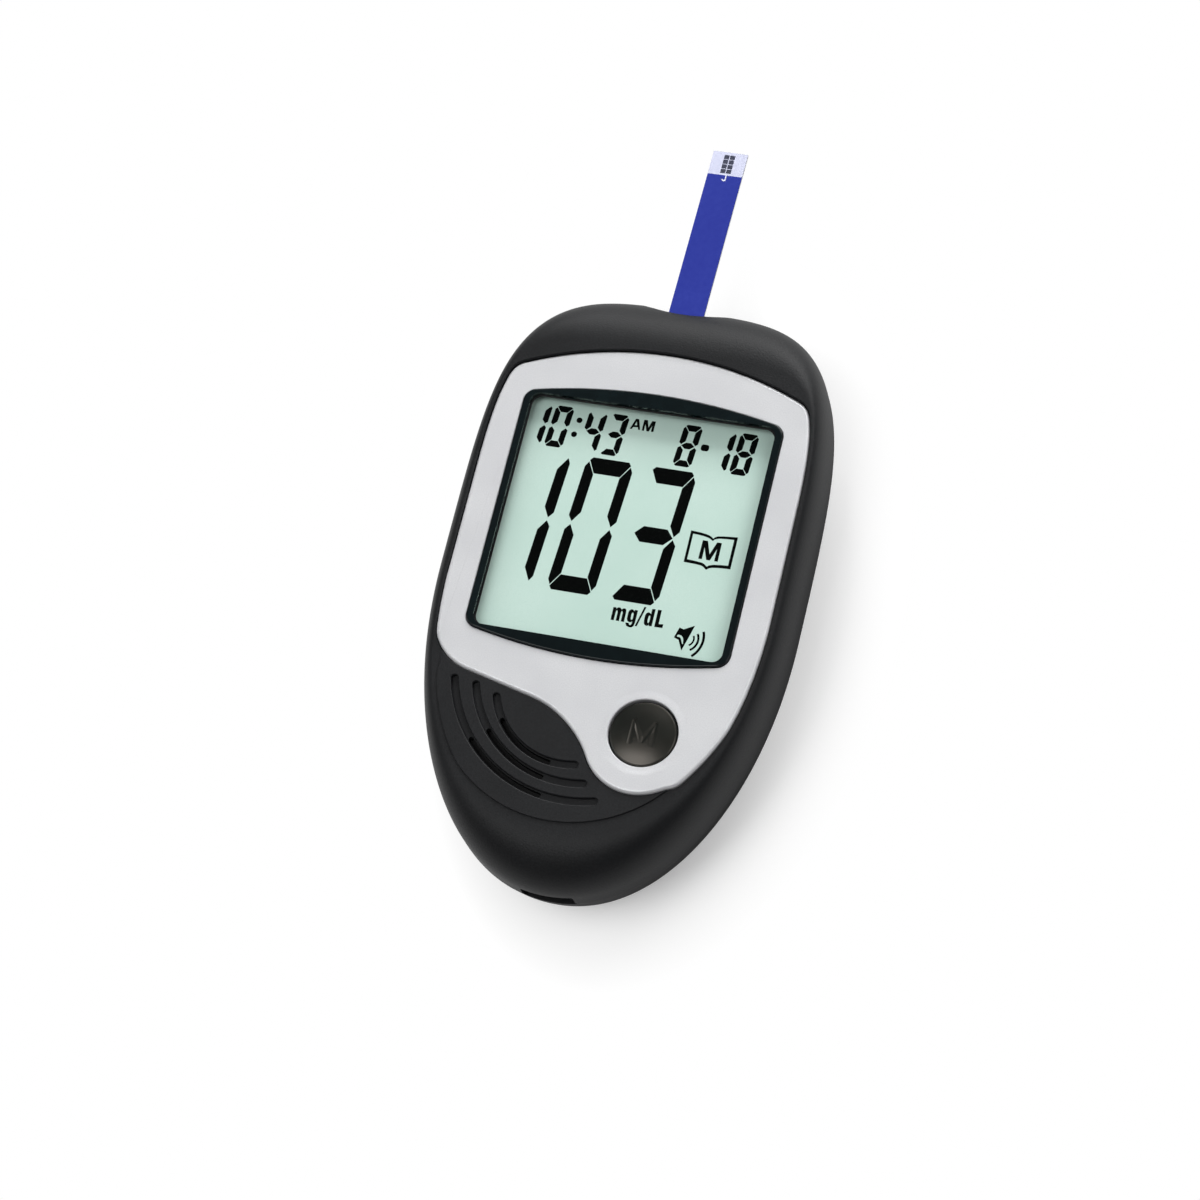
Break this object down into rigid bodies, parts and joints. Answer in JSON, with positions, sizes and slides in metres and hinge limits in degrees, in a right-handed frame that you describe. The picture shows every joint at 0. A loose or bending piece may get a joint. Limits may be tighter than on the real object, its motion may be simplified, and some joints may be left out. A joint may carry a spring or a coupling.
{
  "type": "talking blood glucose meter",
  "caption": "Egg-shaped hand-held glucose meter with a square display, a round button, a slotted speaker panel, a battery bay and a test strip in its port.",
  "frame": {"origin": "middle of the flat back that the meter lies on", "axes": "+Z out of the display's face, +Y towards the end that takes the test strip, +X to the right of someone reading the display"},
  "size_m": [0.0598, 0.1336, 0.024],
  "materials": {
    "casing_plastic": "fine satin texture",
    "silver_plastic": "silver paint, satin",
    "lens_plastic": "polished, printed border",
    "black_tape": "matte",
    "display_glass": "polished",
    "reflector_film": "pearly",
    "white_plastic": "satin",
    "elastomer": "matte",
    "board_laminate": "solder mask",
    "chip_resin": "matte",
    "bright_steel": "nickel plated",
    "dark_steel": "blackened",
    "ceramic_tan": "matte",
    "button_plastic": "polished",
    "black_plastic": "satin",
    "grey_plastic": "satin",
    "plunger_plastic": "satin",
    "speaker_film": "smooth film",
    "magnet_iron": "ground",
    "foam": "open foam",
    "dust_cloth": "fine weave",
    "gold_contact": "gold plated",
    "strip_white": "smooth",
    "strip_blue": "printed film",
    "strip_pale": "clear film over white",
    "cell_wrap": "plain wrapped",
    "label_film": "silver film"
  },
  "bodies": {
    "meter": {"front_casing": "casing_plastic", "rear_casing": "casing_plastic", "face_plate": "silver_plastic", "display_lens": "lens_plastic", "lens_tape": "black_tape", "lcd_front_glass": "display_glass", "lcd_rear_glass": "display_glass", "lcd_reflector": "reflector_film", "lcd_holder": "white_plastic", "zebra_strips": "elastomer", "circuit_board": "board_laminate", "processor_chip": "chip_resin", "voice_chip": "chip_resin", "crystal": "bright_steel", "small_components": "ceramic_tan", "memory_switch": "black_plastic", "set_switch": "black_plastic", "speaker_basket": "black_plastic", "speaker_cone": "speaker_film", "speaker_magnet": "magnet_iron", "speaker_gasket": "foam", "speaker_cloth": "dust_cloth", "speaker_contacts": "gold_contact", "strip_port": "black_plastic", "strip_contacts": "gold_contact", "battery_left": "cell_wrap", "battery_right": "cell_wrap", "battery_springs": "bright_steel", "contact_bridge": "bright_steel", "contact_plates": "bright_steel", "data_socket_shell": "bright_steel", "data_socket_tongue": "black_plastic", "casing_screws": "dark_steel", "board_screws": "bright_steel", "rating_label": "label_film"},
    "memory_button": {"memory_button": "button_plastic", "memory_plunger": "plunger_plastic"},
    "set_button": {"set_button": "grey_plastic", "set_plunger": "plunger_plastic"},
    "battery_door": {"battery_door": "casing_plastic"},
    "test_strip": {"strip_base": "strip_white", "strip_film": "strip_blue", "strip_tip_film": "strip_pale"}
  },
  "joints": [
    {"name": "memory_button_press", "type": "slide", "parent": "meter", "child": "memory_button", "axis": [0, 0, -1], "range_m": [0, 0.0005], "stiffness_N_per_m": 2000, "springref_m": -0.0002},
    {"name": "set_button_press", "type": "slide", "parent": "meter", "child": "set_button", "axis": [0, 0, 1], "range_m": [0, 0.0004], "stiffness_N_per_m": 2000, "springref_m": -0.0002},
    {"name": "battery_door_open", "type": "hinge", "parent": "meter", "child": "battery_door", "pos_m": [0, 0.0328, 0], "axis": [1, 0, 0], "range_deg": [0, 60]},
    {"name": "test_strip_slide", "type": "slide", "parent": "meter", "child": "test_strip", "axis": [0, 0.9968, -0.0802], "range_m": [0, 0.009]}
  ]
}
